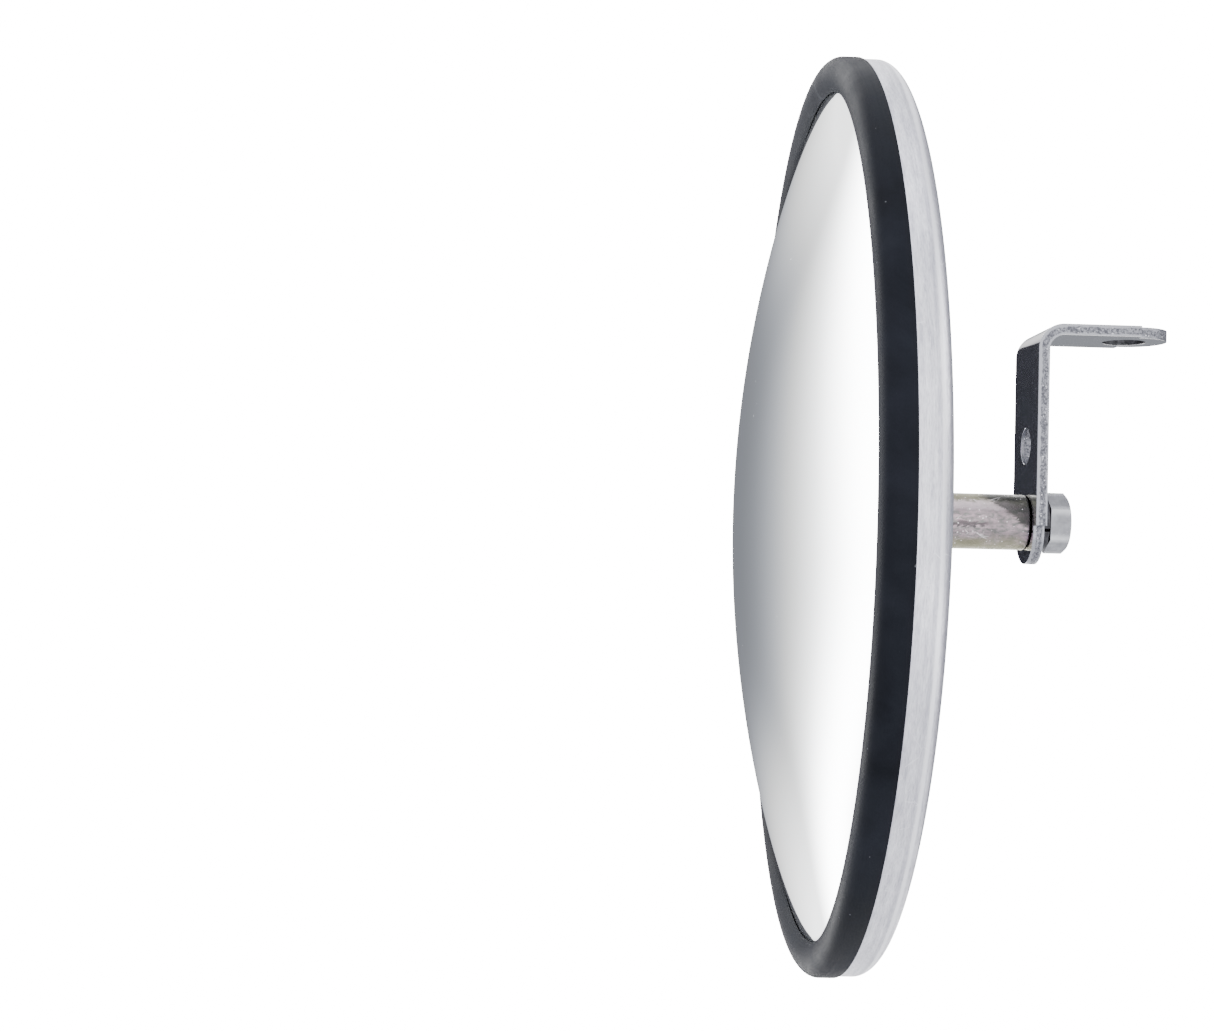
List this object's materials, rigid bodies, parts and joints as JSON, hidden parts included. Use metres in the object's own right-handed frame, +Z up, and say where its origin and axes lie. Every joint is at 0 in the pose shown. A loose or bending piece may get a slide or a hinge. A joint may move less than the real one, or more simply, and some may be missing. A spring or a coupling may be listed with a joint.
{
  "type": "traffic convex mirror",
  "caption": "Round convex stainless mirror in a rubber edge gasket with a shallow steel back pan, held by a short stem that swivels on an L-shaped hanging bracket.",
  "frame": {"origin": "centre of the bracket's flange hole, on the flange's top face, where the hanging bolt or stud holds the mirror up", "axes": "+Z up along the flange hole, out of the flange's top face; -Y is where the mirror looks, along its round axis; +X is to the right of someone who looks into the mirror"},
  "size_m": [0.32, 0.153, 0.32],
  "materials": {
    "mirror_polish": "mirror-polished stainless steel",
    "black_rubber": "satin black rubber with light dust",
    "brushed_stainless": "fine brushed stainless sheet",
    "yellow_zinc": "mottled yellow-passivated zinc on turned bar",
    "polished_stainless": "bright polished flat bar with sheared edges",
    "bolt_steel": "satin grey forged bolt",
    "spring_steel": "dark oiled spring steel"
  },
  "bodies": {
    "bracket": {"wall_bracket": "polished_stainless"},
    "mirror_head": {"mirror_dome": "mirror_polish", "rubber_gasket": "black_rubber", "back_pan": "brushed_stainless", "doubler_plate": "brushed_stainless", "inner_lock_washer": "spring_steel", "inner_bolt": "bolt_steel", "stem_standoff": "yellow_zinc"},
    "clamp_washer": {"clamp_lock_washer": "spring_steel"},
    "clamp_bolt": {"clamp_bolt": "bolt_steel"}
  },
  "joints": [
    {"name": "head_swivel", "type": "hinge", "parent": "bracket", "child": "mirror_head", "pos_m": [0, -0.035, -0.07], "axis": [0, 1, 0], "continuous": true},
    {"name": "clamp_back_out", "type": "slide", "parent": "bracket", "child": "clamp_washer", "axis": [0, 1, 0], "range_m": [0, 0.0175]},
    {"name": "clamp_bolt_turn", "type": "hinge", "parent": "clamp_washer", "child": "clamp_bolt", "pos_m": [0, -0.031, -0.07], "axis": [0, 1, 0], "range_deg": [0, 3600]}
  ],
  "couplings": [
    {"joint": "clamp_bolt_turn", "follows": "clamp_back_out", "rad_per_m": 3590.4}
  ]
}
